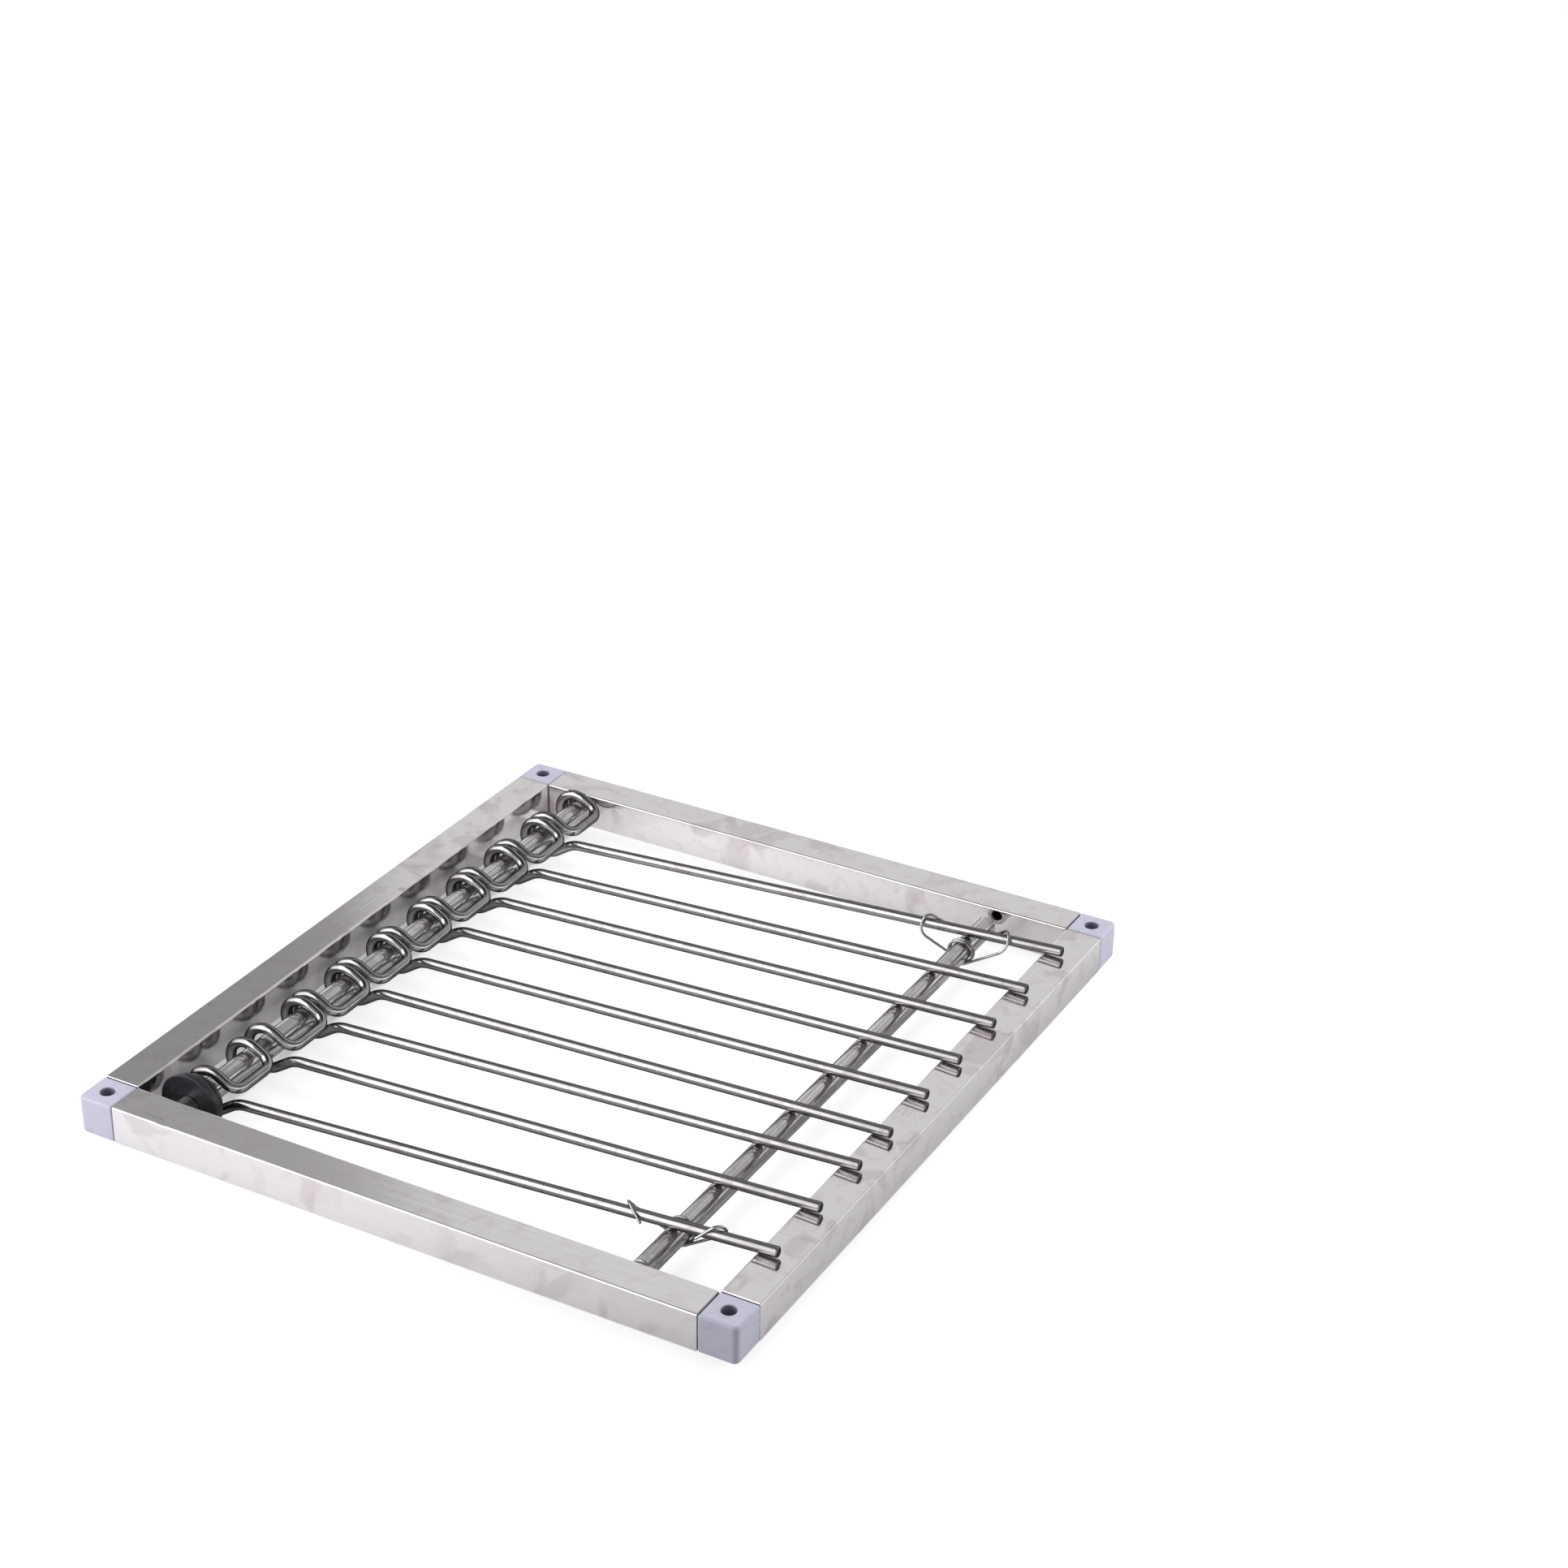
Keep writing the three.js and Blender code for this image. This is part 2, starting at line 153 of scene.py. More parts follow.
clip_radius = 0.525 * mm
clip_edge = 0.15 * mm
clip_sides = 14
coil_pitch = 1.55 * mm
coil_turns = 2
coil_bar_gap = 0.4 * mm
coil_radius = bar_radius + coil_bar_gap + clip_radius
coil_rod_gap = 1.3 * mm
coil_offset = wire_radius + coil_rod_gap + coil_pitch * coil_turns / 2 + clip_radius
arm_flat = 1.3 * mm
arm_bend = 4.9 * mm
knee_reach = 19.5 * mm
knee_drop = 1.4 * mm
knee_bend = 5 * mm
hook_reach = 17.4 * mm
hook_rise = 4.6 * mm
hook_overshoot = 0.2 * mm
hook_bend = 3 * mm
tip_reach = 10.5 * mm
tip_overshoot = 3.6 * mm
tip_drop = 1 * mm
print("bob pitch", round(bob_pitch / mm, 2), "mm, rod slope", round(rod_slope, 4))

# %% [markdown]
# ## The camera
#
# The view was found by fitting a pinhole camera to the frame's outer edges and screw holes. It is
# written as a place, a compass angle, a dip and a small roll, which says more than a matrix of nine
# numbers.

# %% Set up the camera
camera_place = Vector((537.60, -862.76, 645.46)) * mm
camera_turn = math.radians(28.604)
camera_dip = math.radians(27.634)
camera_roll = math.radians(0.845)
camera_focal_length = 73.04

camera = bpy.data.objects.new("camera", bpy.data.cameras.new("camera"))
camera.data.lens = camera_focal_length
camera.matrix_world = (
    Matrix.Translation(camera_place)
    @ Matrix.Rotation(camera_turn, 4, "Z")
    @ Matrix.Rotation(math.pi / 2 - camera_dip, 4, "X")
    @ Matrix.Rotation(camera_roll, 4, "Z")
)
bpy.context.scene.collection.objects.link(camera)
bpy.context.scene.camera = camera
print("camera distance", round(camera_place.length, 3), "m")

# %% [markdown]
# ## Surfaces from grids
#
# A turned axle, a tube and a bent wire are all the same thing: a grid of points with rows and columns,
# where each row is one closed loop round the piece. One function turns any such grid into a mesh. It
# merges rows that shrink to a single point, and turns every face outwards.

# %% Turn a grid of points into a mesh
smooth_angle = math.radians(32)
merge_distance = 1e-7


def grid_faces(rows, columns, ring):
    """Four corners for each face: a point, its neighbour in the row, and the same two one row on."""
    row = np.arange(rows if ring else rows - 1)[:, None]
    column = np.arange(columns)[None, :]
    here, beyond = row * columns, (row + 1) % rows * columns
    beside = (column + 1) % columns
    return np.stack([here + column, here + beside, beyond + beside, beyond + column], -1).reshape(-1, 4)


def add_surface(name, grid, ring=False):
    """The mesh object of a grid of closed rows. With ring, the last row joins the first one too."""
    rows, columns = grid.shape[:2]
    mesh = bpy.data.meshes.new(name)
    mesh.from_pydata(grid.reshape(-1, 3).tolist(), [], grid_faces(rows, columns, ring).tolist())
    work = bmesh.new()
    work.from_mesh(mesh)
    bmesh.ops.remove_doubles(work, verts=work.verts, dist=merge_distance)
    bmesh.ops.recalc_face_normals(work, faces=work.faces)
    work.to_mesh(mesh)
    work.free()
    piece = bpy.data.objects.new(name, mesh)
    bpy.context.scene.collection.objects.link(piece)
    return piece


def points_of(piece):
    """The places of a piece's points, one row each."""
    points = np.zeros(len(piece.data.vertices) * 3, np.float32)
    piece.data.vertices.foreach_get("co", points)
    return points.reshape(-1, 3)


def smooth(piece):
    """Smooth shading everywhere but across edges that turn by more than the smooth angle."""
    piece.data.shade_smooth()
    piece.data.set_sharp_from_angle(angle=smooth_angle)


# %% [markdown]
# Boolean modifiers drill the holes. The result is read back as a plain mesh, so the drills can go.

# %% Cut with or join to other meshes
def combine(piece, tools, operation):
    """Applies one Boolean for each tool and deletes the tools."""
    for tool in tools:
        modifier = piece.modifiers.new(tool.name, "BOOLEAN")
        modifier.operation = operation
        modifier.object = tool
        modifier.solver = "EXACT"
    graph = bpy.context.evaluated_depsgraph_get()
    finished = bpy.data.meshes.new_from_object(piece.evaluated_get(graph))
    piece.modifiers.clear()
    piece.data = finished
    for tool in tools:
        bpy.data.objects.remove(tool)
    return piece


# %% [markdown]
# ## A place that follows the wire
#
# Drawn wire and tube have fine lines along their length. On a bent wire such lines have to follow the
# bends, so each point also keeps the place it had before bending: how far along the straight wire,
# and where on the round section. The materials read that attribute, which has no seam anywhere.

# %% Keep each point's place on the straight stock
STRAIGHT = "straight_place"


def keep_straight_place(piece, place):
    """Stores an array of three numbers per point: along the stock, and two across it, in metres."""
    attribute = piece.data.attributes.new(STRAIGHT, "FLOAT_VECTOR", "POINT")
    attribute.data.foreach_set("vector", place.astype(np.float32).ravel())


def keep_straight_axis(piece, axis):
    """For a straight piece: the coordinate along that axis first, and the other two after it."""
    keep_straight_place(piece, np.roll(points_of(piece), -axis, axis=1))


# %% [markdown]
# ## Square tube
#
# The section is a square with rounded corners. A smooth surface blends its shading from point to
# point, so two extra points lie just beside each corner. They hold the flats flat, and keep the
# bright line on the corner narrow, as it is on folded stainless tube.

# %% The outline of a rounded square, and the tube that has it as its section
hold = 0.15 * mm


def rounded_square(half, radii, steps=7):
    """Each corner is its centre plus radius times the cosine and sine of an angle that runs over 90
    degrees, between two holding points. The four radii go anticlockwise from the +X +Y corner."""
    turn = np.array([[0, -1], [1, 0]])
    angle = np.linspace(0, np.pi / 2, steps + 1)
    corners = []
    for quarter, radius in enumerate(radii):
        arc = half - radius + radius * np.c_[np.cos(angle), np.sin(angle)]
        straight = half - radius - hold
        corner = np.vstack([[half, straight], arc, [straight, half]])
        corners.append(corner @ np.linalg.matrix_power(turn, quarter).T)
    return np.vstack(corners)


def tube_grid(length):
    """Rows of the section's outline, in its own X and Y, at places along Z. They run along the
    outside, over the lip at one end, back along the inside and over the other lip."""
    half = length / 2
    flat_end = half - tube_lip - hold
    outside = [(0, tube_lip - half), (0, -flat_end), (0, flat_end), (0, half - tube_lip)]
    lip = [(tube_lip, half), (tube_wall - tube_lip, half)]
    inside = [(tube_wall, -along) for _, along in outside]
    rows = []
    for inset, along in outside + lip + inside + [(inset, -along) for inset, along in reversed(lip)]:
        corner = tube_inner_corner + (tube_corner - tube_inner_corner) * (1 - inset / tube_wall)
        outline = rounded_square(tube_size / 2 - inset, [corner] * 4)
        rows.append(np.c_[outline, np.full(len(outline), along)])
    return np.stack(rows)


# %% [markdown]
# ## Turned pieces
#
# The axle, the lift bar, the rubber bush and every drill are one profile carried round the Y axis.
# A rounded edge in a profile is a quarter circle, written once as a function.

# %% Profiles and the surface that they make when turned
def quarter(centre, radius, start, steps=5):
    """Points of a quarter circle: centre plus radius times (cosine, sine) from the start angle on."""
    angle = np.radians(start) + np.linspace(0, np.pi / 2, steps + 1)
    return np.asarray(centre) + radius * np.c_[np.cos(angle), np.sin(angle)]


def shoulders(start, end, radius, edge):
    """The outside of a disc or bar with rounded edges, from one face to the other."""
    first = quarter((start + edge, radius - edge), edge, 90)[::-1]
    last = quarter((end - edge, radius - edge), edge, 0)[::-1]
    return np.vstack([first, last])


def turned_grid(profile, centre, columns=72):
    """Profile rows are (along Y, distance from the axis). Each becomes a circle round the centre."""
    angle = np.linspace(0, 2 * np.pi, columns, endpoint=False)
    along, distance = np.asarray(profile).T[:, :, None]
    ring = [distance * np.cos(angle), along + 0 * angle, distance * np.sin(angle)]
    return np.stack(ring, -1) + np.asarray(centre)


def held(profile):
    """The profile with a holding point just inside both ends of each stretch that is long enough."""
    points = [profile[0]]
    for before, after in zip(profile[:-1], profile[1:]):
        step = np.subtract(after, before)
        length = np.linalg.norm(step)
        if length > 3 * hold:
            points += [before + step * hold / length, after - step * hold / length]
        points.append(after)
    return np.array(points)


# %% [markdown]
# ## Bent wire
#
# A wire is a round section carried along a route. The route is a list of corners whose bends are
# arcs, plus a helix where the wire goes round something. The section's frame moves from station to
# station by dropping the part that points along the new direction, so the wire never twists.

# %% Routes and the wire that follows one
bend_step = math.radians(5)


def unit(vector):
    """The vector at length one."""
    return vector / np.linalg.norm(vector, axis=-1, keepdims=True)


def rounded_route(corners, radii):
    """Each inner corner becomes an arc that touches both straights, at radius / tan(half the angle)
    from the corner. The arc turns its first spoke into its last by shares of the sine."""
    parts = [corners[:1]]
    for before, corner, after, radius in zip(corners[:-2], corners[1:-1], corners[2:], radii):
        back, ahead = unit(before - corner), unit(after - corner)
        angle = math.acos(back @ ahead)
        spoke = radius / math.sin(angle / 2) * unit(back + ahead)
        first = back * radius / math.tan(angle / 2) - spoke
        last = ahead * radius / math.tan(angle / 2) - spoke
        turn = math.pi - angle
        share = np.linspace(0, 1, math.ceil(turn / bend_step) + 1)[:, None]
        arc = (np.sin((1 - share) * turn) * first + np.sin(share * turn) * last) / math.sin(turn)
        parts.append(corner + spoke + arc)
    return np.vstack([*parts, corners[-1:]])


def helix(radius, start, end, first_y, last_y):
    """Radius times the cosine in X and the sine in Z of an even angle, while Y changes evenly."""
    angle = np.linspace(start, end, math.ceil(abs(end - start) / bend_step) + 1)
    return np.c_[radius * np.cos(angle), np.linspace(first_y, last_y, len(angle)), radius * np.sin(angle)]


def end_rounding(radius, edge):
    """(distance in from the end, radius there): the middle, the flat, and a quarter circle."""
    rim = quarter((edge, radius - edge), edge, 90)[::-1]
    return np.vstack([[0, 0], [0, radius - edge - hold], rim, [edge + hold, radius]])


def wire_grid(route, radius, edge, sides):
    """Each row is a circle round its station: centre + radius * (cosine * normal + sine * side).
    Returns the grid of rows, and for each point its place on the straight wire."""
    ahead = unit(np.diff(route, axis=0))
    inset, start_radii = end_rounding(radius, edge).T
    start = route[0] + ahead[0] * inset[:, None]
    end = (route[-1] - ahead[-1] * inset[:, None])[::-1]
    centres = np.vstack([start, route[1:-1], end])
    radii = np.concatenate([start_radii, np.full(len(route) - 2, radius), start_radii[::-1]])
    middle = unit(ahead[:-1] + ahead[1:])
    rim = len(inset)
    direction = np.vstack([np.tile(ahead[0], (rim, 1)), middle, np.tile(ahead[-1], (rim, 1))])
    normal = np.cross((0, 1, 0), ahead[0])
    normals = []
    for along in direction:
        normal = unit(normal - along * (along @ normal))
        normals.append(normal)
    normals = np.array(normals)
    side = np.cross(direction, normals)
    angle = np.linspace(0, 2 * np.pi, sides, endpoint=False)[None, :, None]
    across = np.cos(angle) * normals[:, None] + np.sin(angle) * side[:, None]
    grid = centres[:, None] + radii[:, None, None] * across
    travelled = np.concatenate([[0], np.cumsum(np.linalg.norm(np.diff(centres, axis=0), axis=1))])
    flat = np.broadcast_to(angle[..., 0], grid.shape[:2])
    place = np.stack([
        np.broadcast_to(travelled[:, None], flat.shape),
        radii[:, None] * np.cos(flat),
        radii[:, None] * np.sin(flat),
    ], -1)
    return grid, place


def add_wire(name, route, radius, edge, sides):
    """The wire's mesh. Its first and last row are one point each, once their points are merged."""
    grid, place = wire_grid(route, radius, edge, sides)
    piece = add_surface(name, grid)
    keep_straight_place(piece, np.vstack([place[0, :1], place[1:-1].reshape(-1, 3), place[-1, :1]]))
    smooth(piece)
    return piece


# %% [markdown]
# ## Shared finishes
#
# What several materials need is built once, as a node group: cloudy patches where hands and polish
# have touched the metal, fine lines from drawing it through a die, and small dark scuffs. A group
# gives out only masks. Colour, roughness and the shader itself stay in each material.

# %% Small helpers for nodes
def add_node(tree, kind, inputs=None, **settings):
    """Adds a node, sets its settings, and fills or links its inputs by name or number."""
    node = tree.nodes.new(kind)
    for key, value in settings.items():
        setattr(node, key, value)
    for key, value in (inputs or {}).items():
        if isinstance(value, bpy.types.NodeSocket):
            tree.links.new(value, node.inputs[key])
        else:
            node.inputs[key].default_value = value
    return node


def new_group(name, inputs, output):
    """A node group with float inputs, one vector input called Place and one float output."""
    group = bpy.data.node_groups.new(name, "ShaderNodeTree")
    group.interface.new_socket("Place", in_out="INPUT", socket_type="NodeSocketVector")
    for title, value in inputs.items():
        socket = group.interface.new_socket(title, in_out="INPUT", socket_type="NodeSocketFloat")
        socket.default_value = value
    group.interface.new_socket(output, in_out="OUTPUT", socket_type="NodeSocketFloat")
    return group, group.nodes.new("NodeGroupInput").outputs, group.nodes.new("NodeGroupOutput").inputs


def math_node(tree, operation, first, second, third=0.0):
    """The value of one Math node. The third number is what MULTIPLY_ADD adds, or how far apart
    COMPARE lets the first two lie."""
    return add_node(tree, "ShaderNodeMath", {0: first, 1: second, 2: third}, operation=operation).outputs[0]


def times(tree, first, second):
    """The product of two values."""
    return math_node(tree, "MULTIPLY", first, second)


def vector_math(tree, operation, first, second=(0, 0, 0)):
    """The outputs of one Vector Math node: a vector, and a value for a dot product."""
    return add_node(tree, "ShaderNodeVectorMath", {0: first, 1: second}, operation=operation).outputs


def ramp(tree, value, low, high, to_low=0.0, to_high=1.0):
    """A smooth step from to_low to to_high, while the value goes from low to high."""
    limits = {"Value": value, "From Min": low, "From Max": high, "To Min": to_low, "To Max": to_high}
    return add_node(tree, "ShaderNodeMapRange", limits, interpolation_type="SMOOTHSTEP").outputs[0]


def stretched(tree, place, along, across):
    """The place divided by a length along the stock and another one across it."""
    size = add_node(tree, "ShaderNodeCombineXYZ", {0: along, 1: across, 2: across})
    return vector_math(tree, "DIVIDE", place, size.outputs[0])[0]


def noise(tree, place, detail=3.0, distortion=0.0, scale=1.0):
    """The value of a noise texture."""
    wanted = {"Vector": place, "Scale": scale, "Detail": detail, "Distortion": distortion}
    return add_node(tree, "ShaderNodeTexNoise", wanted).outputs[0]


# %% Cloudy patches, drawing lines, scuffs and specks
def make_clouds():
    """Two noises, the smaller one at a third of the size, stepped softly into patches."""
    group, given, result = new_group("cloudy patches", {"Size": 0.012}, "Patches")
    place = stretched(group, given["Place"], given["Size"], given["Size"])
    large = ramp(group, noise(group, place, 2.5, 0.9), 0.54, 0.62)
    small = ramp(group, noise(group, place, 2.0, 0.5, 3.1), 0.5, 0.7)
    both = math_node(group, "MULTIPLY_ADD", small, 0.35, times(group, large, 0.65))
    group.links.new(both, result["Patches"])
    return group


def make_lines():
    """Noise on a place that is stretched far along the stock, so that its blots become lines."""
    group, given, result = new_group("drawing lines", {"Run": 0.03, "Spacing": 0.0003}, "Lines")
    place = stretched(group, given["Place"], given["Run"], given["Spacing"])
    group.links.new(ramp(group, noise(group, place, 3.0), 0.3, 0.7), result["Lines"])
    return group


def make_scuffs():
    """Only the peaks of a stretched noise, and only where a slow noise gathers them."""
    sizes = {"Run": 0.004, "Width": 0.0004, "Cluster": 0.03, "Spread": 0.0}
    group, given, result = new_group("scuffs", sizes, "Scuffs")
    place = stretched(group, given["Place"], given["Run"], given["Width"])
    marks = ramp(group, math_node(group, "ADD", noise(group, place, 4.0, 0.6), given["Spread"]), 0.56, 0.68)
    cluster_place = stretched(group, given["Place"], given["Cluster"], given["Cluster"])
    slow = math_node(group, "ADD", noise(group, cluster_place, 1.0), given["Spread"])
    clusters = ramp(group, slow, 0.52, 0.66)
    group.links.new(times(group, marks, clusters), result["Scuffs"])
    return group


clouds, lines, scuffs = make_clouds(), make_lines(), make_scuffs()
print("node groups:", clouds.name, "/", lines.name, "/", scuffs.name)

# %% [markdown]
# ## Metals
#
# A bare metal has no colour of its own but its tint: what changes over the surface is how sharply it
# mirrors. So the patches mostly drive roughness, and only a little the tint. On drawn bar and wire
# the lines are darker too, and the grazing edges get painted shade, a darker tint and a weaker
# reflection. A very shallow, wide bump bends the reflections, because rolled tube is never quite flat.

# %% The steel of the tubes, wires, axle, bar and clips
def group_value(tree, group, place, **sizes):
    """Places a node group and returns its one output."""
    node = add_node(tree, "ShaderNodeGroup", node_tree=group)
    tree.links.new(place, node.inputs["Place"])
    for title, value in sizes.items():
        node.inputs[title].default_value = value
    return node.outputs[0]


def empty_material(name):
    """A material whose tree holds nothing but its output's surface."""
    material = bpy.data.materials.new(name)
    material.use_nodes = True
    tree = material.node_tree
    tree.nodes.clear()
    return material, tree, tree.nodes.new("ShaderNodeOutputMaterial").inputs["Surface"]


def new_material(name):
    """A material with one shader that is joined to its output."""
    material, tree, surface = empty_material(name)
    shader = tree.nodes.new("ShaderNodeBsdfPrincipled")
    tree.links.new(shader.outputs[0], surface)
    return material, tree, shader


def mixed(tree, share, first, second):
    """The colour between two colours, each a socket or a plain red, green and blue."""
    inputs = {"Factor": share}
    for number, colour in ((6, first), (7, second)):
        inputs[number] = colour if isinstance(colour, bpy.types.NodeSocket) else (*colour, 1)
    return add_node(tree, "ShaderNodeMix", inputs, data_type="RGBA").outputs[2]


def bumped(tree, height, distance, under=None):
    """A bump of that height in metres, laid over another one."""
    node = add_node(tree, "ShaderNodeBump", {"Height": height, "Distance": distance})
    if under is not None:
        tree.links.new(under, node.inputs["Normal"])
    return node.outputs[0]


scuff_colour = (0.16, 0.15, 0.15)
line_colour = (0.06, 0.055, 0.055)
# Near black: the colour of the painted shade on the grazing edges of wire, bar and clips.
grazing_shade_colour = (0.05, 0.048, 0.048)
worn_colour = (0.2, 0.19, 0.185)
worn_share, worn_roughness = 0.4, 0.12
line_roughness, scuff_roughness = 0.4, 0.5
line_height = 0.004 * mm
handled_spread = 0.05
top_face = (tube_high.z - 0.4 * mm, tube_high.z - 0.1 * mm)


def steel(name, bright, dull, roughness, haze, patch, run, spacing, wave, wave_height, scuffed,
          streaked=0.0, rim=0.0, bare=1.0, worn=0.0, handled=None):
    """Polished or drawn steel. Bright and dull are its tints in clean and hazy places, roughness is
    that of clean metal, haze is what a patch adds, and the lengths size the patches and lines.
    Streaked darkens the lines, and rim paints shade on the grazing edges. Bare is how metallic it is,
    and worn is how far from its first end a wire is rougher and darker. Handled is where along X the
    scuffs on the top face fade out."""
    material, tree, shader = new_material(name)
    straight = add_node(tree, "ShaderNodeAttribute", attribute_name=STRAIGHT).outputs["Vector"]
    place = add_node(tree, "ShaderNodeTexCoord").outputs["Object"]
    patches = group_value(tree, clouds, place, Size=patch)
    drawn = group_value(tree, lines, straight, Run=run, Spacing=spacing)
    marks = group_value(tree, scuffs, straight, Spread=handled_spread if handled else 0.0)
    if handled:
        x, _, z = add_node(tree, "ShaderNodeSeparateXYZ", {0: place}).outputs
        spot = times(tree, ramp(tree, x, *handled, 1.0, 0.0), ramp(tree, z, *top_face))
        marks = times(tree, marks, spot)
    rough = math_node(tree, "MULTIPLY_ADD", patches, haze, roughness)
    rough = math_node(tree, "MULTIPLY_ADD", drawn, haze * line_roughness, rough)
    rough = math_node(tree, "MULTIPLY_ADD", marks, scuffed * scuff_roughness, rough)
    tint = mixed(tree, patches, bright, dull)
    tint = mixed(tree, times(tree, marks, scuffed), tint, scuff_colour)
    tint = mixed(tree, times(tree, drawn, streaked), tint, line_colour)
    # Painted shade: at grazing angles the tint darkens towards a near-black colour, by the share rim.
    facing = add_node(tree, "ShaderNodeLayerWeight", {"Blend": 0.5}).outputs["Facing"]
    tint = mixed(tree, ramp(tree, facing, 0.12, 0.6, 0.0, rim), tint, grazing_shade_colour)
    waves = noise(tree, stretched(tree, straight, wave * 2, wave), 1.0)
    normal = bumped(tree, waves, wave_height)
    normal = bumped(tree, drawn, line_height, normal)
    if worn:
        travelled = add_node(tree, "ShaderNodeSeparateXYZ", {0: straight}).outputs[0]
        wear = ramp(tree, travelled, 0.0, worn, 1.0, 0.0)
        rough = math_node(tree, "MULTIPLY_ADD", wear, worn_roughness, rough)
        tint = mixed(tree, times(tree, wear, worn_share), tint, worn_colour)
    for title, value in (("Base Color", tint), ("Roughness", rough), ("Normal", normal)):
        tree.links.new(value, shader.inputs[title])
    shader.inputs["Metallic"].default_value = bare
    # Painted shade too: rim weakens the tint of the reflection at grazing angles.
    shader.inputs["Specular Tint"].default_value = (1 - rim, 1 - rim, 1 - rim, 1)
    return material


rolled = dict(run=40 * mm, spacing=0.4 * mm, wave=20 * mm, wave_height=0.05 * mm)
drawn_long = dict(haze=0.08, patch=9 * mm, run=90 * mm, wave=9 * mm, wave_height=0.004 * mm)
polished_tube = steel("polished tube", (0.86, 0.83, 0.845), (0.7, 0.63, 0.645), roughness=0.06,
                      haze=0.1, patch=22 * mm, scuffed=0.25, **rolled)
scuffed_tube = steel("scuffed tube", (0.86, 0.83, 0.85), (0.72, 0.65, 0.66), roughness=0.1, haze=0.12,
                     patch=30 * mm, scuffed=0.7, streaked=0.06, bare=0.86,
                     handled=(-45 * mm, -5 * mm), **rolled)
drawn_wire = steel("drawn wire", (0.56, 0.54, 0.55), (0.44, 0.42, 0.425), roughness=0.16, haze=0.08,
                   patch=7 * mm, run=14 * mm, spacing=0.4 * mm, wave=6 * mm, wave_height=0.006 * mm,
                   scuffed=0.5, streaked=0.1, rim=0.75, worn=70 * mm)
drawn_bar = steel("drawn bar", (0.86, 0.84, 0.86), (0.7, 0.67, 0.68), roughness=0.17,
                  spacing=1.0 * mm, scuffed=0.3, streaked=0.55, rim=0.1, bare=0.94, **drawn_long)
bright_tube = steel("bright tube", (0.82, 0.79, 0.81), (0.64, 0.61, 0.62), roughness=0.13,
                    spacing=0.9 * mm, scuffed=0.4, streaked=0.42, rim=0.12, **drawn_long)
spring_wire = steel("spring wire", (0.56, 0.55, 0.55), (0.46, 0.45, 0.45), roughness=0.16, haze=0.08,
                    patch=5 * mm, run=10 * mm, spacing=0.15 * mm, wave=3 * mm,
                    wave_height=0.003 * mm, scuffed=0.3, rim=0.6)
metals = (polished_tube, scuffed_tube, drawn_wire, drawn_bar, bright_tube, spring_wire)
print("metals:", [metal.name for metal in metals])

# %% [markdown]
# ## Plastic and rubber
#
# The corner blocks are moulded in a pale lavender grey with a fine eggshell grain. The rubber bush is
# nearly black and a little dusty, and it shines only softly.

# %% The plastic of the blocks and the rubber of the bush
IN_HOLE = "in_hole"
# Painted shade inside the screw holes: a share of the way to a dark blue grey.
hole_shade_colour, hole_shade_share = (0.07, 0.07, 0.12), 0.62
soft_grain_ratio, soft_height_ratio = 20, 4


def moulded(name, clean, soiled, roughness, grain, grain_height, soil_size):
    """A moulded material: its clean and soiled colour, its roughness, and the size of its grain. Painted
    shade darkens it wherever the mesh marks the inside of a hole."""
    material, tree, shader = new_material(name)
    place = add_node(tree, "ShaderNodeTexCoord").outputs["Object"]
    soil = group_value(tree, clouds, place, Size=soil_size)
    fine = noise(tree, stretched(tree, place, grain, grain), 2.0)
    soft_grain = grain * soft_grain_ratio
    soft = noise(tree, stretched(tree, place, soft_grain, soft_grain), 2.0)
    colour = mixed(tree, times(tree, soil, soft), clean, soiled)
    # Painted shade: darker on the hole's wall, which the mesh marks.
    in_hole = add_node(tree, "ShaderNodeAttribute", attribute_name=IN_HOLE).outputs["Fac"]
    colour = mixed(tree, times(tree, in_hole, hole_shade_share), colour, hole_shade_colour)
    rough = ramp(tree, fine, 0.2, 0.8, roughness - 0.06, roughness + 0.08)
    normal = bumped(tree, soft, grain_height * soft_height_ratio)
    normal = bumped(tree, fine, grain_height, normal)
    for title, value in (("Base Color", colour), ("Roughness", rough), ("Normal", normal)):
        tree.links.new(value, shader.inputs[title])
    return material


moulded_plastic = moulded("moulded plastic", (0.6, 0.6, 0.735), (0.5, 0.49, 0.6), roughness=0.42,
                          grain=0.12 * mm, grain_height=0.006 * mm, soil_size=5 * mm)
soft_rubber = moulded("soft rubber", (0.013, 0.013, 0.018), (0.045, 0.045, 0.05), roughness=0.36,
                      grain=0.2 * mm, grain_height=0.01 * mm, soil_size=4 * mm)
print("moulded materials:", moulded_plastic.name, "/", soft_rubber.name)

# %% [markdown]
# ## The frame's rails
#
# Each rail is one length of tube. The side rails are drilled for the axle: a close hole in the wall
# towards the rods, and a wider one in the far rail's outer wall, by which the axle goes in. Small
# punched dents near both ends, which seem to hold the blocks, are put on the back, out of sight.

# %% Make the four rails
X, Y, Z = range(3)
stake_reach = 2.4 * mm
stake_half_width = 1.4 * mm
stake_depth = 0.4 * mm
stake_offset = 5 * mm
drill_overrun = 1 * mm


def finish_piece(piece, body, material, node):
    """Gives a piece its material and its body, and hides the imported node that it stands for."""
    piece.data.materials.clear()
    piece.data.materials.append(material)
    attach(piece, body)
    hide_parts(node)


def laid_along(grid, axis, middle):
    """Turns a grid whose length is Z so that its length lies along the axis, and moves it in place."""
    return np.roll(grid, axis - Z, axis=-1) + np.asarray(middle)


def drill(name, x, y, z, reach, radius):
    """A cylinder from its place towards plus or minus Y, used only to cut."""
    profile = [(0, 0), (0, radius), (reach, radius), (reach, 0)]
    return add_surface(name, turned_grid(profile, (x, y, z)))


